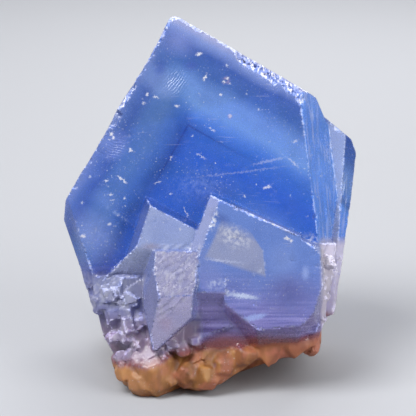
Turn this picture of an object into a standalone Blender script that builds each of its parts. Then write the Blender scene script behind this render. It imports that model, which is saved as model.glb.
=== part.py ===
"""A hand specimen of blue fluorite: intergrown cube crystals with cleaved corners, paling into a honey base.

Every shape is described in the growth frame, in millimetres: across to the right, deep away from the
viewer and up, with the largest crystal's square face turned to the viewer. The whole specimen then leans
back until the flat foot of its base lies on the ground.
"""

import math

import bmesh
import bpy
import numpy as np
from mathutils import Vector

MM = 0.001

# Driving dimensions, in millimetres and degrees
CRYSTAL_ROLL = 29.8  # how far the cube edges are turned clockwise in the big face
LEAN = 16.0  # how far the big face leans back from upright
CLEAVAGE = 35.26  # how far an octahedral cleavage turns to the viewer, seen from a cube face
FRONT_FOOT = 6.0  # depth at which the foot meets the ground at its lowest point
STOCK = 240.0  # side of the stock that every block is cut from
CENTRE = (0.7, 35.68)  # across and deep on the ground, the middle of the specimen's box

RIGHT, UP, LEFT, DOWN = 0.0, 90.0, 180.0, -90.0
FRONT, BACK = (0.0, 90.0), (0.0, -90.0)
TOP_FACE = UP - CRYSTAL_ROLL
LEFT_FACE = LEFT - CRYSTAL_ROLL
RIGHT_FACE = RIGHT - CRYSTAL_ROLL
BOTTOM_FACE = DOWN - CRYSTAL_ROLL


def direction(heading, facing):
    """Unit vector: heading turns in the big face's plane from right to up, facing turns it to the viewer."""
    turn, rise = math.radians(heading), math.radians(facing)
    return Vector((math.cos(turn) * math.cos(rise), -math.sin(rise), math.sin(turn) * math.cos(rise)))


def crystal(apex, run, depth, cuts=()):
    """Planes of a cube crystal whose edges run down from its apex, to the right and to the left."""
    across = direction(RIGHT_FACE, 0) * run[0]
    down = direction(BOTTOM_FACE, 0) * run[1]
    top = Vector((apex[0], depth[0], apex[1]))
    planes = [
        (TOP_FACE, 0, top),
        (LEFT_FACE, 0, top),
        (RIGHT_FACE, 0, top + across),
        (BOTTOM_FACE, 0, top + down),
        (*FRONT, top),
        (*BACK, (0, depth[1], 0)),
    ]
    return planes + list(cuts)


def broken(box, cuts=()):
    """Planes of a broken block: a box of (left, right, near, far, low, high), and the breaks across it."""
    left, right, near, far, low, high = box
    planes = [
        (RIGHT, 0, (right, 0, 0)),
        (LEFT, 0, (left, 0, 0)),
        (UP, 0, (0, 0, high)),
        (DOWN, 0, (0, 0, low)),
        (*FRONT, (0, near, 0)),
        (*BACK, (0, far, 0)),
    ]
    return planes + list(cuts)


def boulder(centre, radii, facets, seed, cuts=()):
    """Planes of a broken lump: facets spread over a sphere, each at the reach of an ellipsoid, roughly."""
    random = np.random.default_rng(seed)
    golden = math.pi * (3 - math.sqrt(5))
    planes = []
    for i in range(facets):
        rise = 1 - 2 * (i + 0.5) / facets
        ring = math.sqrt(1 - rise * rise)
        even = Vector((ring * math.cos(golden * i), rise, ring * math.sin(golden * i)))
        normal = (even + Vector(random.uniform(-0.35, 0.35, 3))).normalized()
        reach = Vector([r * n for r, n in zip(radii, normal)]).length * random.uniform(0.84, 1.0)
        planes.append((normal, Vector(centre) + normal * reach))
    return planes + list(cuts)


def fragment(centre, reach, random):
    """Planes of a cleavage fragment: the eight octahedral cleavages and six cube faces of one crystal."""
    planes = []
    for quarter in range(4):
        for facing in (CLEAVAGE, -CLEAVAGE):
            normal = direction(TOP_FACE - 45 + 90 * quarter + random.uniform(-4, 4), facing)
            planes.append((normal, Vector(centre) + normal * reach * random.uniform(0.5, 0.9)))
        normal = direction(TOP_FACE + 90 * quarter, random.uniform(-4, 4))
        planes.append((normal, Vector(centre) + normal * reach * random.uniform(0.6, 1.1)))
    planes.append((*FRONT, Vector(centre) + direction(*FRONT) * reach * random.uniform(0.3, 0.8)))
    planes.append((*BACK, Vector(centre) + direction(*BACK) * reach))
    return planes


def mosaic(middle, across, down, count, reach, seed):
    """Cleavage fragments spread evenly, with jitter, over a patch given by its middle and two half sides."""
    random = np.random.default_rng(seed)
    step = (0.7549, 0.5698)
    blocks = []
    for i in range(count):
        along, below = ((0.5 + s * i) % 1 * 2 - 1 for s in step)
        centre = Vector(middle) + Vector(across) * along + Vector(down) * below
        blocks.append(fragment(centre, random.uniform(*reach), random))
    return blocks


def chips(start, end, outward, count, reach, seed):
    """Small breaks along a crystal edge: lumps taken out of it, spaced so that none meets the next."""
    random = np.random.default_rng(seed)
    start, end = Vector(start), Vector(end)
    pitch = (end - start).length / count
    lumps = []
    for i in range(count):
        size = min(random.uniform(*reach), 0.44 * pitch)
        place = start.lerp(end, (i + 0.5) / count) + direction(*outward) * size * random.uniform(0.35, 0.7)
        lumps.append(boulder(place, (size, size * 0.8, size), 11, seed + i))
    return lumps


CRYSTALS = {
    "main": crystal((-8.6, 92.0), (62, 71), (12, 47), [
        (98, 14, (-7.4, 12, 91.0)),
        (44, 26, (24.3, 12, 70.6)),
        (24, 0, (30.2, 20, 62.9)),
        (7.2, CLEAVAGE, (23.4, 12, 61.2)),
        (-8, -1, (30.5, 20, 42)),
        (174, 0, (-34.5, 12, 45)),
        (199, -1, (-35.2, 14, 43.6)),
        (198, CLEAVAGE, (-31.6, 12, 41.3)),
        (105, -CLEAVAGE, (-30.0, 47, 62.0)),
        (15, -CLEAVAGE, (22.0, 47, 52.0)),
        (DOWN, -LEAN, (0, 12, 13)),
    ]),
    "back_right": broken((12, 36.4, 21, 49, 14, 70), [
        (51, 0, (31.0, 21, 65.2)),
        (22, -2, (35.9, 21, 59.8)),
        (-6.6, -3, (35.3, 21, 50)),
        (-9.3, -3, (33.5, 21, 38)),
        (-4, 45, (32.5, 21, 50)),
        (40, -50, (22, 45, 58)),
        (-60, -20, (24, 40, 24)),
    ]),
    "front_right": broken((-4.2, 22, 0, 24, 18, 50), [
        (65.5, 3, (0.9, 0, 48.3)),
        (160, 42, (2.6, 0, 47.0)),
        (160, 0, (-3.2, 4, 38)),
        (45, 26, (24.6, 0, 36.6)),
        (-92, 46, (0, 0, 25.4)),
    ]),
    "front_right_low": broken((3.8, 27.2, 0.4, 24, 12, 45), [
        (65.5, 3, (13, 0.4, 42.0)),
        (45, 26, (24.6, 0.4, 36.4)),
        (2, 14, (26.9, 0.4, 30)),
        (-18, 16, (26.2, 0.4, 24.5)),
        (-45, 24, (23.4, 0.4, 19)),
        (-84, 35, (17, 0.4, 17)),
        (-128, 30, (8.1, 0.4, 19.4)),
    ]),
    "purple_face": broken((-4.3, 16, 1.4, 22, 10, 30), [
        (-89, 68, (0, 1.8, 25)),
        (-45, 0, (12, 4, 15)),
        (186, 8, (-4.0, 4, 18)),
    ]),
    "front_left": broken((-26.8, -1.2, 3, 18, 20, 48), [
        (62, 8, (-13.6, 3, 46)),
        (162, 12, (-13.8, 3, 45.8)),
        (-94, 56, (-10, 3, 35.4)),
        (-8, 12, (-1.6, 3, 38)),
    ]),
    "front_left_flank": broken((-27.2, -8, 3, 18, 21, 37), [
        (135, 0, (-17.4, 3, 35.9)),
        (-98, 56, (-10, 3, 35)),
    ]),
    "cleaved_wedge": broken((-15.2, -2.7, -3.2, 16, 11.6, 35.2), [
        (62, 74, (-11.8, -3.0, 26)),
        (184, 38, (-11.8, -3.0, 26)),
        (-69, 64, (-8, -2.6, 24)),
        (100, 40, (-8, -1.6, 34.6)),
        (-10, 15, (-3.3, -2, 26)),
        (-49, 10, (-8.9, 0, 15.2)),
        (192, 5, (-13.7, 0, 15.5)),
        (168, 12, (-14.6, 0, 25)),
    ]),
    "lower_left": broken((-27.6, 0, 5.5, 30, 6, 29), [
        (193, 0, (-27.0, 12, 24)),
        (205, 0, (-24.5, 12, 14)),
        (214, 45, (-22, 8, 16)),
        (140, 40, (-24, 8, 27.5)),
        (-62, 34, (-16, 7, 9.5)),
        (14, 70, (-16, 6.5, 20)),
    ]),
    "right_strip": broken((10, 31.9, 8, 42, 12, 37), [
        (-8, -1, (31.7, 12, 33)),
        (-18, -2, (29.8, 12, 25)),
        (-10, -2, (27.4, 12, 16)),
        (28, 40, (27.5, 10, 34)),
        (-12, 45, (28.2, 8, 28)),
    ]),
    "core": broken((-16, 20, 9, 46, 10.5, 40)),
    "under_brow": broken((-14, 22, 4.6, 24, 9, 22), [
        (-70, 40, (-8, 5, 12)),
        (-88, 50, (12, 5, 14)),
    ]),
    "back_left": crystal((-14, 60), (34, 40), (38, 55), [
        (LEFT_FACE, -12, (-14, 38, 60)),
        (200, -4, (-33, 38, 40)),
        (193, -3, (-26.5, 38, 24)),
        (105, -CLEAVAGE, (-20, 55, 50)),
        (195, -CLEAVAGE, (-24, 55, 34)),
    ]),
    "back_corner": crystal((8, 46), (18, 24), (40, 53), [
        (TOP_FACE, -10, (8, 40, 46)),
        (15, -CLEAVAGE, (18, 53, 34)),
    ]),
}

BASE = {
    "left_toe": boulder((-12.6, 16.5, 7.5), (11.0, 12.5, 8.8), 22, 3, [
        (206, 0, (-21.5, 10, 5)),
        (-70, 0, (-7.4, 10, 2)),
    ]),
    "middle_toe": boulder((-0.5, 16.5, 8.6), (12.5, 12.0, 9.0), 22, 11, [
        (-89, 0, (0, 12, 1.7)),
        (-58, 0, (3.4, 12, 3.7)),
    ]),
    "right_brow": boulder((14.5, 20.5, 14.0), (13.5, 14.5, 7.0), 22, 5, [
        (-86, 0, (20, 12, 9.3)),
        (-68, 0, (12, 12, 7.1)),
        (0, 2, (26.7, 12, 14)),
    ]),
    "heel": boulder((-1.0, 35.0, 13.0), (23.0, 17.0, 13.5), 26, 8, [
        (-72, 0, (6.5, 35, 4.8)),
        (204, 0, (-21.5, 12, 8)),
    ]),
    "left_heel": boulder((-11.0, 36.0, 15.0), (13.5, 16.0, 14.0), 22, 21, [
        (200, 0, (-22.6, 12, 9)),
    ]),
    "right_heel": boulder((14.0, 37.5, 18.5), (12.5, 14.0, 10.5), 22, 13, [
        (-86, 0, (20, 12, 9.6)),
        (-72, 0, (6.5, 35, 4.8)),
    ]),
}

FRAGMENTS = (
    mosaic((-19.0, 6.8, 17.5), (4.4, -0.4, 0.5), (3.0, 0.6, -9), 14, (2.0, 3.4), 31)
    + mosaic((27.3, 10, 24.5), (1.2, 2.4, 0), (-1.6, 0, -9), 9, (1.6, 2.6), 47)
    + mosaic((-6, 5.2, 12.5), (5.5, 0, 0.8), (0, 0.6, -1.6), 6, (1.6, 2.6), 59)
    + mosaic((13, 46.4, 36), (8, 0, -3), (-3, 0, -9), 7, (2.6, 4.6), 61)
)

TERRACES = [
    crystal((-6 + 3.2 * i, 67 - 5.2 * i), (21 - 3.6 * i, 38 - 6.5 * i), (40, 48.4 + 1.3 * i))
    for i in range(4)
]

KNOBS = [
    boulder((-19.5, 9.5, 6.5), (2.6, 3.0, 3.0), 14, 71),
    boulder((-16.0, 7.6, 3.6), (3.0, 3.0, 3.2), 14, 72),
    boulder((-12.5, 7.2, 6.2), (3.0, 2.6, 3.2), 14, 73),
    boulder((-9.6, 7.4, 4.4), (2.2, 2.4, 2.4), 14, 74),
    boulder((-5.0, 7.2, 5.8), (3.2, 2.6, 3.4), 14, 75),
    boulder((-0.6, 7.0, 5.2), (3.0, 2.8, 3.4), 14, 76),
    boulder((3.6, 7.2, 8.0), (2.8, 2.4, 3.0), 14, 77),
    boulder((8.4, 8.2, 10.4), (4.0, 3.2, 2.6), 14, 78),
    boulder((14.4, 9.0, 12.2), (3.6, 3.0, 2.8), 14, 79),
    boulder((20.4, 9.8, 12.8), (4.2, 3.0, 2.8), 14, 80),
    boulder((24.6, 12.0, 12.0), (2.2, 3.0, 2.0), 14, 81),
    boulder((-20.5, 24.0, 12.0), (2.6, 4.0, 4.0), 14, 82),
    boulder((25.0, 30.0, 17.0), (3.0, 5.0, 4.0), 14, 83),
    boulder((-14.0, 50.0, 16.5), (5.0, 3.5, 4.0), 14, 84),
    boulder((6.0, 48.8, 18.5), (6.0, 4.2, 5.2), 14, 85),
]

CHIPS = (
    chips((6.5, 12, 82.9), (23.8, 12, 73.0), (TOP_FACE, 45), 8, (1.3, 2.2), 101)
    + chips((-6.0, 12, 90.2), (4.5, 12, 84.2), (TOP_FACE, 45), 3, (0.6, 1.1), 113)
    + chips((-13.0, 12, 84.2), (-19.5, 12, 72.9), (LEFT_FACE, 45), 3, (0.8, 1.4), 119)
    + chips((-20.8, 12, 70.6), (-25.2, 12, 63.0), (LEFT_FACE, 45), 1, (3.2, 3.4), 127)
    + chips((-26.2, 12, 61.2), (-33.0, 12, 49.4), (LEFT_FACE, 45), 4, (0.7, 1.3), 131)
    + chips((24.2, 12, 56.0), (27.4, 12, 36.0), (7.2, 60), 4, (0.7, 1.3), 139)
    + chips((5.5, 0, 46.0), (22.5, 0, 38.3), (65.5, 45), 6, (0.5, 1.0), 151)
    + chips((-3.0, 47, 88.6), (22.0, 47, 74.3), (TOP_FACE, -45), 5, (1.2, 2.6), 163)
    + chips((-13.5, 47, 83.4), (-27.0, 47, 60.0), (LEFT_FACE, -45), 5, (1.2, 2.4), 173)
    + chips((34.6, 22, 57.5), (34.8, 22, 50.0), (RIGHT, 45), 3, (0.6, 1.0), 181)
)


def cut_block(name, planes):
    """Cuts one convex block from a cube of stock, plane by plane, and gives its mesh in metres."""
    block = bmesh.new()
    bmesh.ops.create_cube(block, size=STOCK)
    for plane in planes:
        if len(plane) == 3:
            normal, point = direction(plane[0], plane[1]), Vector(plane[2])
        else:
            normal, point = plane
        whole = block.verts[:] + block.edges[:] + block.faces[:]
        done = bmesh.ops.bisect_plane(
            block, geom=whole, dist=1e-5, plane_co=point, plane_no=normal, clear_outer=True
        )
        rim = [e for e in done["geom_cut"] if isinstance(e, bmesh.types.BMEdge)]
        bmesh.ops.edgeloop_fill(block, edges=rim)
    bmesh.ops.recalc_face_normals(block, faces=block.faces[:])
    bmesh.ops.scale(block, vec=(MM, MM, MM), verts=block.verts[:])
    mesh = bpy.data.meshes.new(name)
    block.to_mesh(mesh)
    block.free()
    return mesh


def joined(name, plane_sets):
    """One mesh of several blocks that don't meet."""
    whole = bmesh.new()
    for planes in plane_sets:
        whole.from_mesh(cut_block(name, planes))
    mesh = bpy.data.meshes.new(name)
    whole.to_mesh(mesh)
    whole.free()
    return mesh


def combine(target, tool, operation, axes, guides):
    """Joins the tool's mesh to target, or cuts it from target, and keeps the tool as a hidden guide."""
    guide = bpy.data.objects.new(tool.name, tool)
    guides.objects.link(guide)
    guide.parent = axes
    guide.hide_render = True
    guide.display_type = "WIRE"
    step = target.modifiers.new(tool.name, "BOOLEAN")
    step.operation = operation
    step.object = guide


def blue_fluorite():
    """Principled finish of clear blue fluorite."""
    finish = bpy.data.materials.new("blue_fluorite")
    finish.use_nodes = True
    shader = finish.node_tree.nodes["Principled BSDF"]
    shader.inputs["Base Color"].default_value = (0.16, 0.29, 0.72, 1.0)
    shader.inputs["Roughness"].default_value = 0.12
    shader.inputs["Metallic"].default_value = 0.0
    shader.inputs["Transmission Weight"].default_value = 0.6
    shader.inputs["IOR"].default_value = 1.434
    return finish


def clear_scene():
    for leftover in list(bpy.data.objects):
        bpy.data.objects.remove(leftover)


def collection_of(name):
    group = bpy.data.collections.new(name)
    bpy.context.scene.collection.children.link(group)
    return group


def growth_axes(group):
    """Parent of every block: leans the growth frame back and stands its foot on the ground."""
    axes = bpy.data.objects.new("growth_axes", None)
    group.objects.link(axes)
    axes.rotation_euler = (math.radians(-LEAN), 0, 0)
    foot = FRONT_FOOT * math.sin(math.radians(LEAN))
    axes.location = Vector((-CENTRE[0], -CENTRE[1], foot)) * MM
    return axes


def main():
    clear_scene()
    group = collection_of("fluorite_specimen")
    guides = collection_of("guides")
    axes = growth_axes(group)

    cluster = bpy.data.objects.new("fluorite_cluster", cut_block("main_crystal", CRYSTALS["main"]))
    group.objects.link(cluster)
    cluster.parent = axes
    cluster.data.materials.append(blue_fluorite())

    added = {key: planes for key, planes in CRYSTALS.items() if key != "main"} | BASE
    added |= {f"fragment_{i}": planes for i, planes in enumerate(FRAGMENTS)}
    added |= {f"knob_{i}": planes for i, planes in enumerate(KNOBS)}
    added |= {f"terrace_{i}": planes for i, planes in enumerate(TERRACES)}
    for key, planes in added.items():
        combine(cluster, cut_block(key, planes), "UNION", axes, guides)
    combine(cluster, joined("chips", CHIPS), "DIFFERENCE", axes, guides)

    below = Vector((0, FRONT_FOOT, 0)) + direction(DOWN, -LEAN) * STOCK / 4
    ground = [(*face, below + direction(*face) * STOCK / 4) for face in (FRONT, BACK, (RIGHT, 0), (LEFT, 0))]
    ground += [(UP, LEAN, (0, FRONT_FOOT, 0)), (DOWN, 0, below)]
    combine(cluster, cut_block("ground", ground), "DIFFERENCE", axes, guides)


main()
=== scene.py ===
"""Looks of the blue fluorite specimen: its fine surface, its clear and bruised finishes, and a plain studio.

Lengths are in millimetres and directions in the growth frame unless a name says otherwise: across to the
right, deep away from the viewer and up, with the largest crystal's square face turned to the viewer.
"""

import math

import bmesh
import bpy
import numpy as np
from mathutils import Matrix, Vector


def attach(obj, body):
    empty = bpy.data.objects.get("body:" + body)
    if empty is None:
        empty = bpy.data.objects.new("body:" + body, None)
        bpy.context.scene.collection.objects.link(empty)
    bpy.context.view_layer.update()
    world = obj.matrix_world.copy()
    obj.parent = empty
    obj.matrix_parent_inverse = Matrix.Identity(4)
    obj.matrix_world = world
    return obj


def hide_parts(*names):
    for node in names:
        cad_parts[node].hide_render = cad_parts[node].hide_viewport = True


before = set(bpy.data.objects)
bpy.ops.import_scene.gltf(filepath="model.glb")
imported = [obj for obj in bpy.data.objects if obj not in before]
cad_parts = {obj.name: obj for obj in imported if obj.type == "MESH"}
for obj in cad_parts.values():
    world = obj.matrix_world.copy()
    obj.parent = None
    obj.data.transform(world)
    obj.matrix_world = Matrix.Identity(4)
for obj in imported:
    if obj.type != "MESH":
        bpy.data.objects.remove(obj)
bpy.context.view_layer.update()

# The CAD part's own placing: its lean, the depth at which the ground has height 0, and the middle of its box
MM = 0.001
LEAN = math.radians(16.0)
FRONT_FOOT = 6.0
CENTRE = (0.7, 35.68)
SHIFT = np.array([-CENTRE[0], -CENTRE[1], FRONT_FOOT * math.sin(LEAN)])

# The large crystal: its turn in the face's plane, the angle of its octahedral cleavage, and its tip
CRYSTAL_ROLL = 29.8
CLEAVAGE = 35.26
APEX = np.array([-8.6, 12.0, 92.0])

# Point spacing of the even mesh, and the most triangles that are left of it
GRAIN = 0.36
MOST_TRIANGLES = 190000

# The photograph's framing: its side and the row of the specimen's foot in pixels, and the pixel's size
PHOTO_PIXELS = 416
FOOT_ROW = 397
PIXEL_SIZE = 0.24
CAMERA_DISTANCE = 700.0
SENSOR = 36.0


# Places and directions

def direction(heading, facing):
    """Unit vector: heading turns in the big face's plane from right to up, facing turns it to the viewer."""
    turn, rise = math.radians(heading), math.radians(facing)
    return np.array([math.cos(turn) * math.cos(rise), -math.sin(rise), math.sin(turn) * math.cos(rise)])


TOP = direction(90 - CRYSTAL_ROLL, 0)
LEFT = direction(180 - CRYSTAL_ROLL, 0)
FRONT = direction(0, 90)
LEAN_BACK = np.array([
    [1, 0, 0],
    [0, math.cos(LEAN), math.sin(LEAN)],
    [0, -math.sin(LEAN), math.cos(LEAN)],
])


def to_growth(world):
    """World metres to growth millimetres: the shift is undone, then the lean."""
    return (world / MM - SHIFT) @ LEAN_BACK


def to_world(growth):
    """Growth millimetres to world metres: leant back, then shifted."""
    return (growth @ LEAN_BACK.T + SHIFT) * MM


def step(low, high, x):
    """Smooth step: 0 below low, 1 above high, and 3t^2 - 2t^3 between."""
    t = np.clip((x - low) / (high - low), 0, 1)
    return t * t * (3 - 2 * t)


def within(x, low, high, soft):
    """1 between low and high, fading to 0 over soft outside both."""
    return step(low - soft, low, x) * (1 - step(high, high + soft, x))


# Patterns in space

def hashed(cell, seed):
    """Three numbers from 0 to 1 for each whole-number cell: the fraction of a large sine of its mix."""
    mix = cell @ np.array([[127.1, 269.5, 419.2], [311.7, 183.3, 371.9], [74.7, 246.1, 168.2]])
    return np.modf(np.abs(np.sin(mix + seed * 17.13) * 43758.5453))[0]


def noise(points, pitch, seed):
    """Value noise from -1 to 1: a random number at each corner of a cubic lattice, blended across it."""
    scaled = points / pitch + seed * 3.7
    base = np.floor(scaled)
    t = scaled - base
    t = t * t * (3 - 2 * t)
    total = np.zeros(len(points))
    for i in (0, 1):
        for j in (0, 1):
            for k in (0, 1):
                weight = np.where(i, t[:, 0], 1 - t[:, 0]) * np.where(j, t[:, 1], 1 - t[:, 1])
                weight *= np.where(k, t[:, 2], 1 - t[:, 2])
                total += weight * hashed(base + (i, j, k), seed)[:, 0]
    return total * 2 - 1


def rough_noise(points, pitch, seed, octaves=3):
    """Sum of noises, each half as coarse and half as strong as the last."""
    return sum(noise(points, pitch / 2 ** i, seed + i) / 2 ** i for i in range(octaves))


def cells(points, pitch, seed):
    """Nearest scattered point of a jittered lattice: its place, its three random numbers, and how far the
    border with the next one is."""
    scaled = points / pitch
    base = np.floor(scaled)
    nearest = np.full(len(points), 1e9)
    second = nearest.copy()
    place, chance = np.zeros_like(points), np.zeros_like(points)
    for i in (-1, 0, 1):
        for j in (-1, 0, 1):
            for k in (-1, 0, 1):
                cell = base + (i, j, k)
                spot = cell + hashed(cell, seed)
                gap = np.linalg.norm(scaled - spot, axis=1)
                closer = gap < nearest
                second = np.where(closer, nearest, np.minimum(second, gap))
                nearest = np.where(closer, gap, nearest)
                place[closer] = spot[closer]
                chance[closer] = hashed(cell[closer], seed + 5)
    return place * pitch, chance, (second - nearest) * np.min(pitch)


# The surface

# The planes that one crystal breaks along: four octahedral cleavages and the three cube faces
CLEAVAGES = np.array(
    [direction(90 - CRYSTAL_ROLL - 45 + 90 * quarter, CLEAVAGE) for quarter in range(4)]
    + [TOP, LEFT, FRONT]
)


# A break leans from the surface no further than to this cosine, and stays within these heights of it
LEAST_LEAN = 0.35
BREAK_HEIGHTS = (-1.6, 1.2)

# A point is on an edge where it stands out from its neighbours' mean by this share of the mesh's spacing
FOLD = 0.16
FAR = 99.0


def faceted(points, normals, pitch, seed, tilt, stepped):
    """How far each point moves along its normal onto its fragment's own flat break, and how far the
    fragment's border is.

    Space is parted into cells. Each cell's break passes through the cell's point on the surface, tilted from
    the surface by a chance vector of length tilt, and lifted or sunk by chance within stepped.
    """
    place, chance, border = cells(points, pitch, seed)
    plane = normals + (chance * 2 - 1) * tilt
    plane /= np.linalg.norm(plane, axis=1)[:, None]
    lean = np.maximum((plane * normals).sum(1), LEAST_LEAN)
    on_surface = place - normals * ((place - points) * normals).sum(1)[:, None]
    rise = (plane * (on_surface - points)).sum(1) / lean
    return np.clip(rise, *BREAK_HEIGHTS) + (chance[:, 1] - 0.6) * stepped, chance[:, 2], border


def cleaved(points, normals, pitch, seed, deepest):
    """How far each point moves along its normal onto its fragment's own cleavage plane.

    Space is parted into cells. Each cell takes the cleavage, of the seven of one crystal, that a mix of
    nearness to the surface's own direction and chance puts first, through the cell's point on the surface.
    """
    place, chance, _ = cells(points, pitch, seed)
    along = normals @ CLEAVAGES.T
    luck = 0.4 * np.cos(np.arange(7) * 2.4 + chance[:, :1] * 2 * math.pi)
    pick = np.argmax(np.abs(along) + luck, axis=1)
    plane = CLEAVAGES[pick] * np.sign(along[np.arange(len(points)), pick])[:, None]
    lean = np.maximum((plane * normals).sum(1), LEAST_LEAN)
    on_surface = place - normals * ((place - points) * normals).sum(1)[:, None]
    rise = (plane * (on_surface - points)).sum(1) / lean + (chance[:, 1] - 0.6) * deepest
    return np.clip(rise, -deepest, deepest * 0.6)


def merged_copy(node):
    """A copy of a CAD node's mesh with its loose triangles joined."""
    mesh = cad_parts[node].data.copy()
    work = bmesh.new()
    work.from_mesh(mesh)
    bmesh.ops.remove_doubles(work, verts=work.verts[:], dist=1e-7)
    work.to_mesh(mesh)
    work.free()
    return mesh


def applied(obj):
    """The mesh that the object's modifiers leave, with the modifiers gone."""
    bpy.context.view_layer.update()
    done = bpy.data.meshes.new_from_object(obj.evaluated_get(bpy.context.evaluated_depsgraph_get()))
    obj.modifiers.clear()
    obj.data = done
    return done


def even_surface(name, node):
    """The node's solid on an even mesh of GRAIN, its points then put back onto the flat faces."""
    solid = bpy.data.objects.new(name + "_solid", merged_copy(node))
    bpy.context.scene.collection.objects.link(solid)
    piece = bpy.data.objects.new(name, solid.data.copy())
    bpy.context.scene.collection.objects.link(piece)
    even = piece.modifiers.new("even", "REMESH")
    even.mode = "VOXEL"
    even.voxel_size = GRAIN * MM
    flat = piece.modifiers.new("flat", "SHRINKWRAP")
    flat.target = solid
    flat.wrap_method = "NEAREST_SURFACEPOINT"
    applied(piece)
    bpy.data.objects.remove(solid)
    return piece


def arrays_of(mesh):
    """Places in growth millimetres, normals in growth directions, and the mesh's edges."""
    places = np.empty(len(mesh.vertices) * 3)
    mesh.vertices.foreach_get("co", places)
    normals = np.empty(len(mesh.vertices) * 3, np.float32)
    mesh.vertex_normals.foreach_get("vector", normals)
    edges = np.empty(len(mesh.edges) * 2, np.int32)
    mesh.edges.foreach_get("vertices", edges)
    return to_growth(places.reshape(-1, 3)), normals.reshape(-1, 3) @ LEAN_BACK, edges.reshape(-1, 2)


def spread_mean(values, edges):
    """Each point's mean over its neighbours."""
    count = np.bincount(edges.ravel(), minlength=len(values))
    flat = values.reshape(len(values), -1)
    total = np.stack([
        np.bincount(edges[:, 0], flat[edges[:, 1], i], len(values))
        + np.bincount(edges[:, 1], flat[edges[:, 0], i], len(values))
        for i in range(flat.shape[1])
    ], axis=1)
    return (total / np.maximum(count, 1)[:, None]).reshape(values.shape)


def softened(values, edges, rounds):
    """Values averaged with their neighbours, several rounds."""
    for _ in range(rounds):
        values = 0.5 * values + 0.5 * spread_mean(values, edges)
    return values


def arris_distance(points, normals, edges, rounds=14):
    """Distance to the nearest outward edge of the crystals: points where the surface folds away, spread
    outwards along the mesh by its own lengths."""
    fold = ((points - spread_mean(points, edges)) * normals).sum(1) / GRAIN
    away = np.where(fold > FOLD, 0.0, FAR)
    length = np.linalg.norm(points[edges[:, 0]] - points[edges[:, 1]], axis=1)
    for _ in range(rounds):
        first, second = away[edges[:, 0]], away[edges[:, 1]]
        np.minimum.at(away, edges[:, 0], second + length)
        np.minimum.at(away, edges[:, 1], first + length)
    return away


def near_segment(points, start, end):
    """Distance of each point from a straight segment."""
    start, end = np.array(start, float), np.array(end, float)
    run = end - start
    t = np.clip((points - start) @ run / (run @ run), 0, 1)
    return np.linalg.norm(points - start - t[:, None] * run, axis=1)


# Bruised edges, as the photograph shows them: their two ends and how wide the bruise is
BRUISED_EDGES = [
    ((9, 12, 81.5), (24.5, 12, 71.5), 3.3),
    ((4, 12, 84.5), (9, 12, 81.5), 0.9),
    ((24, 12, 71), (30, 20, 63), 2.0),
    ((-8, 12, 92), (-3, 12, 88.6), 0.9),
    ((-9, 12, 92), (-14, 12, 82), 1.2),
    ((-20, 12, 72), (-26, 12, 61), 1.8),
    ((2, 0, 47), (25, 0, 37), 0.5),
    ((0, 0, 46), (-4, 0, 34), 0.6),
    ((-14, 3, 46), (-2, 3, 40), 0.3),
]

# Dishes: where the blow fell, how far it reaches, its depth and its ripples' spacing. Distance from the blow
# counts for less into the depth, so that a dish reaches further in than across.
DISH_FORM = (1, 0.6, 1)
DISHES = [
    ((-14.4, 12, 80.2), 11.0, 0.55, 0.8),
    ((-24.6, 12, 62.4), 6.4, 0.45, 0.7),
    ((-27.2, 12, 56.6), 4.2, 0.3, 0.7),
    ((29.6, 13, 63.0), 6.0, 0.4, 0.8),
]

# Planes of the wedge and of the side cleavage: heading, facing, a point on each, and its reach. The crease
# parts the wedge's rough top from its smooth lower face.
WEDGE_TOP = (62, 74, (-7.5, -1.7, 29), 10)
WEDGE_BROW = (100, 40, (-8, -1.6, 34.6), 8)
SIDE_CLEAVAGE = (7.2, CLEAVAGE, (23.4, 12, 61.2), 50)
WEDGE_CREASE = (-7.1, -3, 22.1)

# The honey's upper border by the place across, and how high the rusty seam stands over it
HONEY_LINE = ([-22, -14, -9, 0, 14, 24], [7.2, 8.2, 10.8, 12.2, 14.6, 14.4])
RUSTY_SEAM = ([-22, -4, 4, 14, 24], [2.4, 2.6, 5.5, 3.4, 2.0])


def on_plane(points, normals, heading, facing, through, reach=40.0, slack=0.5):
    """1 where the surface lies on a plane, within slack of it and within reach of a point on it, and faces
    as the plane does."""
    face = direction(heading, facing)
    away = points - np.array(through, float)
    near = 1 - step(reach, reach + 1.5, np.linalg.norm(away, axis=1))
    return near * (1 - step(slack, slack + 0.5, np.abs(away @ face))) * step(0.955, 0.975, normals @ face)


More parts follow.
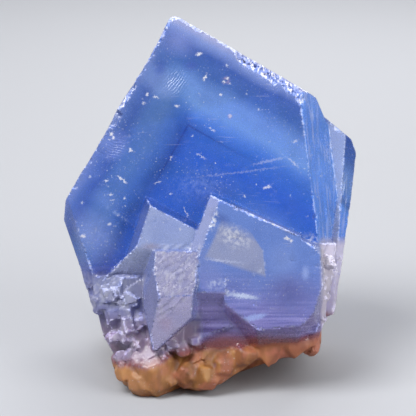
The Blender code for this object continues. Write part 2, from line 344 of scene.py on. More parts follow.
def regions(points, normals):
    """Soft masks, from 0 to 1, of the parts of the specimen that differ in finish. Each is a range of places
    or a plane with softened borders, and the borders of the colours wander by a noise."""
    across, deep, up = points.T
    wander = 1.6 * noise(points, 7, 3) + 0.7 * noise(points, 2.6, 4)
    ground = (deep - FRONT_FOOT) * math.tan(LEAN)
    above = up - ground
    over_line = up - np.interp(across, *HONEY_LINE) - (deep - 8) * 0.28 + wander * 0.6
    honey = 1 - step(-1.5, 1.5, over_line)
    rust = 1 - step(0.2, 1.0, over_line / np.interp(across, *RUSTY_SEAM))
    purple = 1 - step(15, 36, up - 0.12 * (deep - 8) + wander)
    lower_left = within(across, -40, -2.4, 1.5) * within(deep, 3.4, 60, 0.8) * (1 - step(28, 31, up))
    strip = step(26.2, 27.6, across) * (1 - step(36, 39, up))
    behind = step(46, 50, deep) * (1 - step(38, 48, up + 2 * wander))
    broken = np.clip(lower_left + strip + behind, 0, 1) * (1 - honey)
    wedge = within(across, -16, -2, 0.4) * (1 - step(3.0, 4.5, deep)) * within(up, 11, 36.5, 0.5)
    over_crease = step(-0.3, 0.3, (points - WEDGE_CREASE) @ direction(130, 0)) * step(-12.3, -11.6, across)
    wedge_top = np.max([on_plane(points, normals, *WEDGE_TOP, slack=0.8),
                        on_plane(points, normals, *WEDGE_BROW, slack=0.8),
                        over_crease * step(0.3, 0.5, normals @ FRONT)], axis=0)
    striated = on_plane(points, normals, *SIDE_CLEAVAGE, slack=1.5)
    return {
        "honey": honey,
        "rust": rust,
        "purple": purple,
        "broken": broken * (1 - wedge),
        "wedge": wedge,
        "wedge_top": wedge_top * wedge,
        "strip": strip,
        "striated": striated,
        "foot": 1 - step(0.2, 0.8, above),
        "front": (1 - step(10.8, 11.6, deep)) * (1 - step(44, 48, up)),
    }


# The faces seen from the front, each with its own tone with painted light and shade in it: heading, facing, a
# point, reach, tone, strength
TONED_AND_SHADED_FACES = [
    (0, 90, (-10, 3, 39), 14, "#a4b1dc", 0.90),
    (-94, 56, (-10, 3, 35.4), 18, "#bcc6ea", 0.85),
    (-98, 56, (-10, 3, 35), 20, "#bcc6ea", 0.85),
    (62, 8, (-8, 3, 43), 14, "#3f62be", 0.85),
    (0, 90, (11, 0.2, 34), 20, "#748fd6", 0.80),
    (160, 42, (-1.5, 1.6, 40), 11, "#b4bae2", 0.80),
    (162, 12, (-13.8, 3, 42), 14, "#3f62be", 0.85),
    (160, 0, (-3.2, 4, 38), 12, "#8494cc", 0.70),
    (45, 26, (24.6, 0, 36.6), 6, "#a4b0e4", 0.60),
    (2, 14, (26.9, 0.4, 30), 12, "#6a74b0", 0.70),
    (-92, 46, (8, 0, 25.4), 12, "#a5a0de", 0.75),
    (-84, 35, (17, 0.4, 17), 12, "#a08cc4", 0.80),
    (-45, 24, (23.4, 0.4, 19), 8, "#8a84c0", 0.80),
    (-128, 30, (8.1, 0.4, 19.4), 10, "#a898d6", 0.85),
    (-89, 68, (0, 1.8, 25), 18, "#8c84c4", 0.85),
    (62, 74, (-7.5, -1.7, 29), 10, "#9d98b4", 0.85),
    (184, 38, (-13.0, -1.3, 24), 13, "#888bb8", 0.85),
    (-69, 64, (-8, -2.6, 24), 14, "#cdc7ec", 0.90),
    (100, 40, (-8, -1.6, 34.6), 8, "#b4afc4", 0.85),
    (7.2, 35.26, (25, 14, 55), 40, "#6ba1f6", 0.75),
    (0, 90, (30, 21, 50), 24, "#b3c2e7", 0.75),
    (22, -2, (35.9, 21, 59.8), 30, "#a3b6e7", 0.75),
    (-6.6, -3, (35.3, 21, 50), 40, "#b2bee2", 0.75),
]

# Tones of the other faces in front, of the rough strip at the right, near white as painted light on its
# shaded side, and of broken ground: glassy dark and pale silvery as painted shade and highlight, pink
FRONT_TONE = "#8f98cc"
STRIP_TONE = "#f8eaee"
GLASSY_TONES = ("#7a7fa8", "#adaeca", "#ba9296")


def face_tones(points, normals, edges, masks, flake):
    """Tone of each point, linear RGB with its strength: the toned faces with their painted light and shade
    and the arrises between them, then the broken ground's fragments from dark glassy to silvery as painted
    shade and highlight, and pinkish low down, each fragment one tone."""
    tone = np.zeros((len(points), 4))
    tone[:, :3] += rgb(FRONT_TONE) * masks["front"][:, None]
    tone[:, 3] = 0.6 * masks["front"]
    for heading, facing, through, reach, code, strength in TONED_AND_SHADED_FACES:
        here = on_plane(points, normals, heading, facing, through, reach, slack=0.9)
        tone[:, :3] += (rgb(code) - tone[:, :3]) * here[:, None]
        tone[:, 3] = np.maximum(tone[:, 3], here * strength)

    # The arrises between the toned faces take on the tone around them
    arris = normals @ FRONT < 0.97
    for _ in range(3):
        around = spread_mean(np.column_stack([tone[:, :3] * tone[:, 3:], tone[:, 3]]), edges)
        fill = arris & (tone[:, 3] < 0.62) & (around[:, 3] > 0.2)
        tone[fill, :3] = around[fill, :3] / around[fill, 3:]
        tone[fill, 3] = np.minimum(0.8, around[fill, 3] * 1.4)

    # Painted shade and highlight: each fragment of broken ground is dark glassy or silvery at random,
    # standing in for flakes that miss or catch the light, and pinker low down
    dark, pale, pink = (rgb(code) for code in GLASSY_TONES)
    low = 1 - step(13, 22, points[:, 2])
    glassy = dark + (pale - dark) * step(0.3, 0.95, flake)[:, None]
    glassy += (pink - glassy) * (0.8 * low * (1 - 0.4 * step(0.6, 0.9, flake)))[:, None]
    broken = masks["broken"]
    tone[:, :3] += (glassy - tone[:, :3]) * broken[:, None]
    tone[:, 3] = np.maximum(tone[:, 3], broken * 0.85)
    # Painted light: the rough strip at the right is lifted to near white where it faces away from the key
    # light
    side = masks["strip"] * (1 - masks["honey"])
    tone[:, :3] += (rgb(STRIP_TONE) - tone[:, :3]) * (0.85 * side)[:, None]
    return tone


# Broken ground parts along a slant: axes of its fragments, and their usual sizes
SLANT = np.stack([direction(-28, 0), direction(62, 0), -FRONT], axis=1)
FRAGMENT = np.array([5.4, 9.0, 7.0])
SPLINTER = np.array([1.7, 4.2, 2.6])
HONEY_LUMP = np.array([6.0, 6.0, 8.0])

# Cleavage chips along a bruised edge, small, middling and coarse: their pitch, seed and greatest depth
CHIPS = [(0.9, 31, 0.30), (1.5, 32, 0.5), (2.0, 33, 0.6)]

# The usual width of a worn edge, and the edge at the side cleavage, which is worn less
WORN_EDGE = 0.24
THIN_EDGE = ((25, 12, 66), (27, 12, 40))

# Spacing of the wedge's ridges, height of a growth terrace and depth of a pit
RIDGE = 1.5
TERRACE = 0.035
PIT_DEPTH = 0.14


def sawtooth(x):
    """Steep on one side: rises from 0 to 1 over 0.85 of each whole step and drops back over the rest."""
    turn = x - np.floor(x)
    return np.where(turn < 0.85, turn / 0.85, (1 - turn) / 0.15)


def one_front_face(points, normals):
    """The right front crystal's face runs on as one: the 0.4 mm step between its two blocks is spread out
    to a slope, and the low break between them is filled to it."""
    across, deep, up = points.T
    facing = normals @ FRONT
    near_step = (np.abs(across - 22) < 1.2) & (up < 39) | (np.abs(up - 25.4) < 1.4) & (across > 4.4)
    here = (across > 4.4) & (across < 26) & (up > 18) & (up < 45) & (deep < 0.9)
    here &= (facing > 0.9) | near_step
    low_side = np.maximum(step(13, 22, across), 1 - step(25.4, 33, up))
    joined, facing_front = points.copy(), normals.copy()
    joined[here, 1] = 0.4 * low_side[here]
    facing_front[here] = FRONT
    return joined, facing_front


def bruised(points, outward, away, honey):
    """Bruised edges: their move, how deep in the bruise each point is from its border to the edge, the
    bruise's own mask, and how battered it is.

    A bruise is as wide as a noise about WORN_EDGE, or as its own width along BRUISED_EDGES, and stays thin
    by the middle dishes and THIN_EDGE. It is cut back by a quarter of its width and into CHIPS, the larger
    ones only where it is wide.
    """
    width = WORN_EDGE + 0.42 * noise(points, 6, 21) + 0.30 * noise(points, 1.7, 22)
    battered = np.full(len(points), 0.35)
    for start, end, more in BRUISED_EDGES:
        near = 1 - step(1.0, 3.2, near_segment(points, start, end))
        width = np.maximum(width, near * more * (0.8 + 0.35 * noise(points, 2.2, 23)))
        battered = np.maximum(battered, near * min(1.0, 0.35 + 0.3 * more))
    beside = [np.linalg.norm((points - place) * DISH_FORM, axis=1) / reach
              for place, reach, _, _ in DISHES[1:3]]
    width *= 0.1 + 0.9 * step(1.1, 1.4, np.min(beside, axis=0))
    width *= 0.35 + 0.65 * step(1.0, 2.5, near_segment(points, *THIN_EDGE))
    depth = np.clip(1 - away / np.maximum(width, 0.05), 0, 1) * step(0.05, 0.2, width)
    bruise = step(0.0, 0.35, depth) * (1 - honey)
    small, middling, coarse = (cleaved(points, outward, *chip) for chip in CHIPS)
    large = (np.minimum(coarse, 0) + 0.5 * middling) * step(0.9, 1.6, width)
    return bruise * (small * 0.6 - 0.25 * width * depth + large), depth, bruise, battered


def fragmented(points, outward, masks):
    """Broken ground: its move, each fragment's chance of being pale, and the partings between fragments.

    Its surface is the flat breaks of FRAGMENT cells, with those of SPLINTER cells where a noise is high, both
    along a slant that wanders by 2.2 mm. The wedge's top is splintered and ridged across by a sawtooth.
    """
    swirl = np.stack([noise(points, 6, seed) for seed in (46, 47, 48)], axis=1)
    slanted = (points + 2.2 * swirl) @ SLANT
    turned = outward @ SLANT
    big, big_chance, big_border = faceted(slanted, turned, FRAGMENT, 41, 0.20, 0.12)
    small, small_chance, small_border = faceted(slanted, turned, SPLINTER, 43, 0.17, 0.04)
    splintered = step(0.0, 0.6, noise(points, 6, 44))
    ridged = sawtooth(points @ direction(-50, 0) / RIDGE + 0.35 * noise(points, 3, 45))
    move = masks["broken"] * 0.6 * np.clip(big + small * splintered, -0.8, 0.4)
    move += masks["wedge_top"] * 0.22 * (ridged - 0.5 + small)
    flake = big_chance + (small_chance - big_chance) * 0.5 * splintered
    parting = np.maximum(1 - step(0.1, 0.45, big_border), splintered * (1 - step(0.05, 0.3, small_border)))
    return move, flake, parting * np.maximum(masks["broken"], 0.6 * masks["wedge_top"])


def dished(points):
    """Dishes where blows fell: deepest in the middle, with ripples round it in their outer part."""
    move = np.zeros(len(points))
    for place, reach, deepest, spacing in DISHES:
        gap = np.linalg.norm((points - place) * DISH_FORM, axis=1) + 0.5 * noise(points, 4, 51)
        inside = 1 - step(0.55, 1.0, gap / reach)
        ripple = np.sin(gap * 2 * math.pi / spacing + 3 * noise(points, 3, 52)) * step(0.35, 0.6, gap / reach)
        move -= inside * (deepest * (1 - gap / reach * 0.7) + 0.03 * ripple * (1 + noise(points, 2, 53)))
    return move


def lined(points, normals, masks):
    """Straight growth and cleavage lines: grooves and small ledges along the side cleavage, terraces on the
    cube faces that the photograph hides, and the lines of the purple ledge. Each is a noise drawn out along
    its lines, and a ledge or a terrace is that noise rounded to whole steps."""
    grooves = noise(points * (1, 1, 0.07), 0.8, 71)
    ledges = np.round(1.5 * noise(points * (1, 1, 0.25), 3, 72))
    move = masks["striated"] * (0.10 * grooves + 0.12 * ledges)

    along_axes = points @ np.stack([TOP, LEFT, FRONT], axis=1)
    side_face = step(0.96, 0.99, np.maximum(np.abs(normals @ TOP), np.abs(normals @ LEFT)))
    hidden_face = np.maximum(side_face * step(11, 13, points[:, 1]), step(0.96, 0.99, -(normals @ FRONT)))
    terraces = TERRACE * np.round(2.0 * rough_noise(along_axes * (1, 0.12, 1), 7, 91, 2))
    terraces += TERRACE * np.round(2.0 * rough_noise(along_axes * (0.12, 1, 1), 7, 93, 2))
    move += hidden_face * terraces * (1 - masks["broken"]) * (1 - masks["honey"])

    on_purple = on_plane(points, normals, -89, 68, (4, 1.8, 21), 16, slack=1.2)
    return move + on_purple * 0.12 * noise(points * (0.08, 0.3, 1), 1.0, 75)


def rounded_base(points, edges, masks):
    """The honey base and the ground under the front crystals with their CAD edges softened away."""
    across, deep, up = points.T
    under_front = within(across, -3, 17, 1.0) * within(up, 11, 23, 1.0) * (1 - step(6, 7, deep))
    share = np.maximum(masks["honey"], under_front) * (1 - masks["foot"])
    return points + (softened(points, edges, 8) - points) * share[:, None]


def shaped(points, normals, edges):
    """The displaced places, the masks that the finishes read, and the tones.

    Every point moves along its own smoothed normal by a sum of the bruises, the broken ground, the dishes,
    the honey base's broad facets, the growth lines, the pits and a slight waviness. The foot stays flat.
    """
    points, normals = one_front_face(points, normals)
    masks = regions(points, normals)
    away = arris_distance(points, normals, edges)
    outward = softened(normals, edges, 8)
    outward /= np.linalg.norm(outward, axis=1)[:, None] + 1e-9

    move, depth, bruise, battered = bruised(points, outward, away, masks["honey"])
    broken_move, flake, parting = fragmented(points, outward, masks)
    lumps, _, _ = faceted(points, outward, HONEY_LUMP, 61, 0.16, 0.1)
    move += broken_move + dished(points)
    move += masks["honey"] * (0.3 * lumps + 0.06 * noise(points * (1, 1, 0.3), 1.4, 65))

    points = rounded_base(points, edges, masks)
    pits = step(0.66, 0.82, noise(points, 1.3, 81)) * step(0.1, 0.5, noise(points, 9, 82))
    move += lined(points, normals, masks)
    move -= PIT_DEPTH * pits * (1 - masks["honey"])
    move += 0.05 * noise(points, 11, 83)
    move *= 1 - masks["foot"]

    masks["bruise"] = np.clip(bruise + 0.6 * pits, 0, 1)
    masks["battered"] = battered
    masks["parting"] = parting
    masks["edge"] = depth * (1 - masks["honey"])
    return points + outward * move[:, None], masks, face_tones(points, normals, edges, masks, flake)


def fluorite_surface():
    """The whole specimen as one closed mesh: shaped, thinned where it is flat, masked for its finishes."""
    piece = even_surface("fluorite_specimen", "fluorite_cluster")
    mesh = piece.data
    places, masks, tone = shaped(*arrays_of(mesh))
    mesh.vertices.foreach_set("co", to_world(places).ravel())
    for key in (*FINISH_MASKS, "front"):
        layer = mesh.attributes.new(key, "FLOAT", "POINT")
        layer.data.foreach_set("value", masks[key].astype(np.float32))
    layer = mesh.attributes.new("tone", "FLOAT_COLOR", "POINT")
    layer.data.foreach_set("color", tone.astype(np.float32).ravel())
    mesh.update()
    triangles = sum(len(p.vertices) - 2 for p in mesh.polygons)
    thin = piece.modifiers.new("thin", "DECIMATE")
    thin.ratio = min(1.0, MOST_TRIANGLES / triangles)
    return piece, applied(piece)


# Finishes

# The masks that the finishes read from the mesh
FINISH_MASKS = (
    "purple", "rust", "honey", "broken", "wedge", "wedge_top", "striated",
    "bruise", "battered", "edge", "parting",
)

# Noise patterns in the fluorite: grains per millimetre, detail, and the noise levels where the pattern begins
# and is full, or None for the noise itself. Some are also stretched along the axes and turned in the face.
# Dust and scratches that are too fine to show in the render are drawn as coarse as they need to show.
PATTERNS = {
    "zone waver": (0.12, 3, None),
    "ripple waver": (0.5, 4, None),
    "surface grain": (1.8, 3, None),
    "specks": (1.3, 2, (0.70, 0.76)),
    "where specks lie": (0.16, 2, (0.46, 0.6)),
    "dust": (2.4, 2, (0.66, 0.72)),
    "where dust lies": (0.10, 3, (0.45, 0.60)),
    "growth lines": (1.0, 3, (0.35, 0.65), (0.08, 0.3, 1.6), 0),
    "crumbs": (1.1, 5, (0.42, 0.62)),
    "pale clouds": (0.35, 5, (0.3, 0.7)),
    "dim clouds": (0.22, 4, (0.48, 0.7)),
    "honey streaks": (0.35, 5, None, (1, 1, 0.35), 0),
    "pink honey": (0.2, 3, (0.48, 0.62)),
    "glints": (1.5, 6, (0.52, 0.59), (1, 1, 0.6), 30),
    "rising scratches": (1.1, 2, (0.66, 0.72), (0.10, 1, 1.9), 28),
    "falling scratches": (1.3, 2, (0.68, 0.74), (0.10, 1, 1.9), -42),
    "where scratches lie": (0.14, 2, (0.50, 0.62)),
    "wear_and_sheen": (0.8, 5, (0.40, 0.60)),
    "patches of rim": (0.3, 3, (0.44, 0.58)),
    "striae": (1.0, 4, (0.52, 0.64), (1.3, 1.3, 0.10), 0),
    "rubble": (0.9, 5, (0.5, 0.68), (1, 1, 0.4), 35),
}


def linear(code):
    """sRGB hex to linear RGBA."""
    parts = np.array([int(code[i:i + 2], 16) / 255 for i in (1, 3, 5)])
    parts = np.where(parts <= 0.04045, parts / 12.92, ((parts + 0.055) / 1.055) ** 2.4)
    return (*parts.tolist(), 1.0)


def rgb(code):
    """sRGB hex to a linear RGB array."""
    return np.array(linear(code)[:3])


def add(tree, kind, inputs=(), out=0, stops=(), **settings):
    """Adds a node with its settings and links, and gives back the output that out names or numbers.

    Each input is another node's output, a hex colour or a plain value. They come in the node's own order, or
    by name or number. A colour ramp also has stops, each a place and a hex colour.
    """
    node = tree.nodes.new("ShaderNode" + kind)
    for key, value in settings.items():
        setattr(node, key, value)
    for socket, value in inputs.items() if isinstance(inputs, dict) else enumerate(inputs):
        if isinstance(value, bpy.types.NodeSocket):
            tree.links.new(value, node.inputs[socket])
        else:
            node.inputs[socket].default_value = linear(value) if isinstance(value, str) else value
    if stops:
        band = node.color_ramp.elements
        band.remove(band[1])
        band[0].position, band[0].color = stops[0][0], linear(stops[0][1])
        for place, code in stops[1:]:
            band.new(place).color = linear(code)
    return node.outputs[out]


def pattern(tree, place, name, least=0.0, most=1.0):
    """One of PATTERNS at a place, from least below its first level to most above its second."""
    per_mm, detail, levels, *drawn_out = PATTERNS[name]
    if drawn_out:
        stretch, turn = drawn_out
        place = add(tree, "Mapping", {0: place, "Rotation": (0, math.radians(turn), 0), "Scale": stretch})
    grains = add(tree, "TexNoise", {"Vector": place, "Scale": per_mm, "Detail": detail})
    return add(tree, "MapRange", [grains, *levels, least, most]) if levels else grains


def growth_place(tree):
    """Object coordinates turned back to growth millimetres."""
    where = add(tree, "TexCoord", out="Object")
    return add(tree, "Mapping", {0: where, "Scale": (1 / MM,) * 3, "Rotation": (LEAN, 0, 0),
                                 "Location": tuple(-(SHIFT @ LEAN_BACK))})


# How far a mark or stain reaches into its face, where it doesn't say
BLOT_DEPTH = 2.5


def blot(tree, place, centre, half, heading, soft=0.5, strength=1.0):
    """A soft-edged ellipsoid on a face: strength inside, fading to 0 at its half sizes, turned to a heading.
    It reaches BLOT_DEPTH into the face, or a third half size where the ground is broken."""
    scale = (half[0], half[2] if half[2:] else BLOT_DEPTH, half[1])
    turn = (0, -math.radians(heading), 0)
    around = add(tree, "Mapping", {0: place, "Location": centre, "Rotation": turn, "Scale": scale},
                 vector_type="TEXTURE")
    gap = add(tree, "VectorMath", [around], "Value", operation="LENGTH")
    return add(tree, "MapRange", [gap, 1.0, 1 - soft, 0.0, strength])


def depth_under(tree, place, face, through):
    """Depth in millimetres below a crystal face: its own offset less the place's."""
    along = add(tree, "VectorMath", [place, tuple(face)], "Value", operation="DOT_PRODUCT")
    return add(tree, "Math", [float(face @ through), along], operation="SUBTRACT")


def panel(tree, place, sides, strength):
    """A flat-sided patch: strength within all its sides, fading to 0 over each side's softness."""
    share = strength
    for heading, facing, through, soft in sides:
        inside = depth_under(tree, place, direction(heading, facing), through)
        inside = add(tree, "MapRange", [inside, 0.0, soft, 0.0, strength])
        share = add(tree, "Math", [share, inside], operation="MINIMUM")
    return share


def laid_over(tree, colour, layers):
    """A colour with layers over it, each a share and a colour."""
    for share, over in layers:
        colour = add(tree, "Mix", {0: share, 6: colour, 7: over}, 2, data_type="RGBA")
    return colour


# The large crystal's growth zones: how deep they reach, and their tones by share of that depth below the top
# face and below the left face
ZONES = 32.0
UNDER_TOP = [
    (0.00, "#b0b4da"), (0.07, "#8297d4"), (0.15, "#3a5cac"), (0.27, "#3f66b0"), (0.37, "#6a90d4"),
    (0.50, "#6c95d6"), (0.60, "#4476cc"), (0.66, "#3067c2"), (0.80, "#265cc0"), (1.00, "#2f64bc"),
]
UNDER_LEFT = [
    (0.00, "#7388c4"), (0.07, "#4c6ab0"), (0.13, "#3a5aa6"), (0.21, "#486eb0"), (0.31, "#4c72b0"),
    (0.39, "#3c66b0"), (0.48, "#2652a4"), (0.56, "#2458b8"), (0.75, "#2860c2"), (1.00, "#346cc8"),
]

# How deep the phantom's top and left sides lie. Its line and the line's shadow fade out this far to each
# side, and along it they fade between these distances past the corner.
PHANTOM = (21.3, 16.6)
PHANTOM_LINE = 0.5
PHANTOM_SHADOW = 2.5
PHANTOM_DOWN = (9.1, 22.1)
PHANTOM_RIGHT = (-3.9, 22.1)


def zoned_blue(tree, place):
    """Growth zones: bands of blue parallel to the top and left faces, meeting on the diagonal of a square
    phantom. A darker line with a soft shadow marks its corner and fades along both its sides."""
    under_top = depth_under(tree, place, TOP, APEX)
    under_left = depth_under(tree, place, LEFT, APEX)
    waver = add(tree, "Math", [pattern(tree, place, "zone waver"), 3.0, -1.5], operation="MULTIPLY_ADD")
    bands = []
    for under, stops in ((under_top, UNDER_TOP), (under_left, UNDER_LEFT)):
        depth = add(tree, "Math", [under, waver], operation="ADD")
        bands.append(add(tree, "ValToRGB", [add(tree, "MapRange", [depth, 0.0, ZONES])], stops=stops))
    past_top = add(tree, "Math", [under_top, PHANTOM[0]], operation="SUBTRACT")
    past_left = add(tree, "Math", [under_left, PHANTOM[1]], operation="SUBTRACT")
    off_diagonal = add(tree, "Math", [past_top, past_left], operation="SUBTRACT")
    side = add(tree, "Math", [off_diagonal, 0.13, 0.5], operation="MULTIPLY_ADD", use_clamp=True)
    blue = laid_over(tree, bands[0], [(side, bands[1])])

    inner = add(tree, "Math", [past_top, past_left], operation="MINIMUM")
    inner = add(tree, "Math", [waver, 0.12, inner], operation="MULTIPLY_ADD")
    near = add(tree, "Math", [inner], operation="ABSOLUTE")
    line = add(tree, "MapRange", [near, 0.0, PHANTOM_LINE, 1.0, 0.0])
    shadow = add(tree, "MapRange", [near, 0.0, PHANTOM_SHADOW, 0.4, 0.0])
    drawn = add(tree, "Math", [line, shadow], operation="MAXIMUM")
    down = add(tree, "MapRange", [past_top, *PHANTOM_DOWN, 1.0, 0.0])
    right = add(tree, "MapRange", [past_left, *PHANTOM_RIGHT, 1.0, 0.0])
    reach = add(tree, "Math", [down, right], operation="MINIMUM")
    return laid_over(tree, blue, [(add(tree, "Math", [drawn, reach], operation="MULTIPLY"), "#0e3084")])


# Stains inside the faces, and painted light: flashes of light from inner cracks and lit patches, and a
# painted shade: centre, half sizes, heading, tone, strength, softness, and whether crumbs break them up
STAINS_AND_FLASHES = [
    ((-28.3, 12, 39.0), (7.0, 9.0), 60, "#8a9cd2", 0.7, 0.9, 0),
    ((-24.5, 12, 47.0), (5.0, 3.0), -30, "#6f8ccb", 0.5, 0.9, 0),
    ((14.0, 12, 40.0), (12.0, 6.0), -30, "#7c97dc", 0.5, 0.9, 0),
    ((-16.6, 12, 41.3), (5.4, 2.0), -33, "#2e5cb8", 0.75, 0.5, 0),
    ((-22.0, 12, 44.0), (4.2, 0.7), -36, "#a9c0ee", 0.6, 0.8, 1),
    ((1.0, 12, 49.0), (7.0, 6.0), 0, "#4a62b4", 0.5, 0.9, 0),
    ((-2.5, 12, 51.0), (9.0, 5.0), 10, "#8ba2e0", 0.35, 0.9, 1),
    ((6.0, 0, 38.6), (5.6, 3.2), -24, "#dcdeea", 0.85, 0.8, 1),
    ((13.2, 0, 33.0), (0.35, 4.4), 6, "#c8d0ea", 0.7, 0.8, 1),
    ((-11.4, 12, 75.6), (6.0, 4.2), -40, "#86a0da", 0.5, 0.5, 0),
    ((-7.6, 12, 85.6), (6.5, 4.5), -20, "#8d9cdc", 0.65, 0.9, 0),
    ((-4.0, 12, 79.5), (2.4, 1.6), 0, "#3f55b0", 0.6, 0.9, 0),
    ((-11.6, 12, 78.6), (1.8, 2.2), 0, "#3b58ae", 0.6, 0.9, 0),
    ((-22.5, 12, 60.5), (4.6, 4.0), 50, "#7d92d0", 0.5, 0.6, 0),
    ((4.4, 12, 76.0), (1.3, 1.2), 20, "#b498b6", 0.6, 0.8, 1),
    ((5.3, 12, 67.3), (0.6, 0.7), 0, "#b498b6", 0.6, 0.8, 0),
    # Painted shade: a darker pink over broken ground that the key light catches
    ((-14.6, 7, 10.6), (6.4, 3.4, 9.0), 8, "#9c7c90", 0.6, 0.6, 0),
    ((-23.5, 7, 27.6), (5.6, 3.6, 9.0), 0, "#7d84aa", 0.5, 0.6, 0),
    ((-25.0, 7, 23.6), (0.9, 2.6, 9.0), -28, "#b4b7cc", 0.7, 0.8, 0),
    ((-19.6, 7, 23.4), (0.9, 2.8, 9.0), -24, "#b4b7cc", 0.7, 0.8, 0),
    ((-19.8, 7, 17.0), (1.4, 2.4, 9.0), 0, "#cfc6d4", 0.7, 0.8, 1),
    # Painted flash: a salmon reflection low on the broken ground
    ((-12.4, 7, 7.9), (2.8, 0.8, 9.0), 8, "#dc8e82", 0.85, 0.7, 0),
    ((-6.5, 4, 14.6), (5.8, 3.4, 6.0), 40, "#a0869a", 0.75, 0.7, 0),
    ((12.0, 0, 30.4), (3.0, 0.5), 34, "#c4cce6", 0.6, 0.8, 1),
    ((-9.8, -1, 17.4), (2.4, 3.4), 20, "#c8a9c4", 0.6, 0.9, 0),
    ((3.0, 0, 43.0), (3.4, 1.6), -25, "#4a60a8", 0.6, 0.8, 0),
    ((17.5, 0, 33.0), (5.0, 5.5), 0, "#8299d8", 0.7, 0.9, 0),
    ((19.0, 0, 25.0), (7.5, 6.0), 20, "#6263a4", 0.8, 0.8, 0),
    ((3.7, 0, 32.9), (5.6, 0.35), -6, "#b9c1e4", 0.8, 0.6, 0),
    ((2.0, 0, 27.4), (3.0, 1.6), 8, "#c3cdf0", 0.8, 0.7, 1),
    ((8.2, 0, 24.6), (4.8, 0.8), -8, "#cfdaf8", 0.95, 0.6, 0),
    ((5.2, 0, 25.4), (1.6, 1.1), 20, "#e2e8fa", 0.9, 0.7, 1),
    ((11.0, 0, 19.6), (3.6, 0.9), 12, "#a4b4f0", 0.85, 0.5, 0),
    ((24.8, 12, 36.4), (2.6, 3.6), 28, "#dfe2f2", 0.9, 0.8, 1),
    ((23.0, 0, 30.0), (1.2, 2.2), 0, "#9fb3ee", 0.7, 0.7, 0),
    # Painted highlight: a white flare on the front crystal's bevel
    ((1.4, 0, 42.4), (0.9, 3.2), -18, "#f0f2fa", 0.9, 0.7, 1),
    ((-9.0, 3, 41.5), (5.0, 3.0), -25, "#98a8e0", 0.5, 0.9, 0),
    ((-13.5, 3, 36.2), (3.0, 1.2), 0, "#9b8e9c", 0.6, 0.8, 0),
    ((-12.6, -3, 23.0), (1.0, 4.6), 5, "#7074a4", 0.6, 0.8, 0),
]

# Flat-sided patches inside the right front crystal: their sides, each as heading, facing, a point and its
# softness, then the tone and strength
PANELS = [
    ([(-108, 0, (6.0, 0, 31.2), 0.9), (6, 0, (13.4, 0, 32), 0.3), (34, 0, (11.4, 0, 37.9), 0.4),
      (67, 0, (7, 0, 41.5), 2.4), (155, 0, (1.0, 0, 38.2), 0.8), (0, -90, (0, 2, 0), 0.5)], "#9ba1c2", 0.9),
    ([(90, 0, (0, 0, 16.9), 0.3), (-90, 0, (0, 0, 15.6), 0.3), (180, 0, (-4, 0, 16), 0.8),
      (0, 0, (6, 0, 16), 2.5), (0, -90, (0, 6, 0), 0.5)], "#564684", 0.7),
    ([(90, 0, (0, 0, 19.2), 0.4), (-90, 0, (0, 0, 18.5), 0.2), (180, 0, (-3.8, 0, 16), 0.8),
      (0, 0, (4, 0, 16), 2.0), (0, -90, (0, 6, 0), 0.5)], "#5f509a", 0.6),
    ([(90, 0, (0, 0, 22.4), 0.5), (-90, 0, (0, 0, 20.9), 0.5), (180, 0, (-3.8, 0, 16), 0.8),
      (0, 0, (7, 0, 16), 3.0), (0, -90, (0, 6, 0), 0.5)], "#a79be0", 0.5),
]

